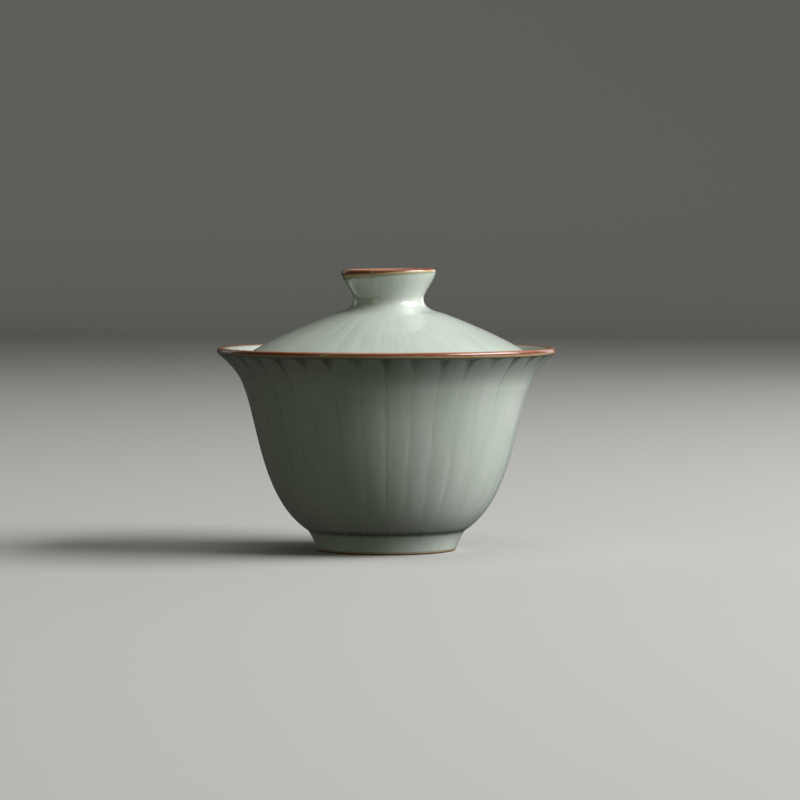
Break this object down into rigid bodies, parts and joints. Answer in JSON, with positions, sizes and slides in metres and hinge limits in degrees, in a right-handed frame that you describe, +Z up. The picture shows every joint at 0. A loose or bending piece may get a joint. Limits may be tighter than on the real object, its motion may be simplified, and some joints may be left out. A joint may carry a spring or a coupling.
{
  "type": "gaiwan",
  "caption": "Fluted tea bowl that flares to a thin brown lip and stands on a foot ring, with a loose domed lid and a hollow ring knob.",
  "frame": {"origin": "centre of the level plane that the foot stands on, on the bowl's axis", "axes": "+Z up along the bowl's axis; -Y towards the viewer, and +X to the viewer's right. The lid lies 0.6 mm off the axis towards +X, within its play"},
  "size_m": [0.1002, 0.1002, 0.083],
  "materials": {
    "celadon_glaze": "satin, softly reflecting blue-green glaze",
    "brown_lip_glaze": "thin red-brown iron glaze, satin",
    "bare_clay": "unglazed, matt, fired brown"
  },
  "bodies": {
    "bowl": {"bowl_body": "celadon_glaze", "bowl_lip": "brown_lip_glaze", "foot_ring": "celadon_glaze", "foot_edge": "bare_clay"},
    "lid": {"lid_dome": "celadon_glaze", "lid_edge": "brown_lip_glaze", "lid_knob": "celadon_glaze", "knob_lip": "brown_lip_glaze"}
  },
  "joints": [
    {"name": "lid_lift", "type": "slide", "parent": "bowl", "child": "lid", "axis": [0, 0, 1], "range_m": [0, 0.06]}
  ]
}
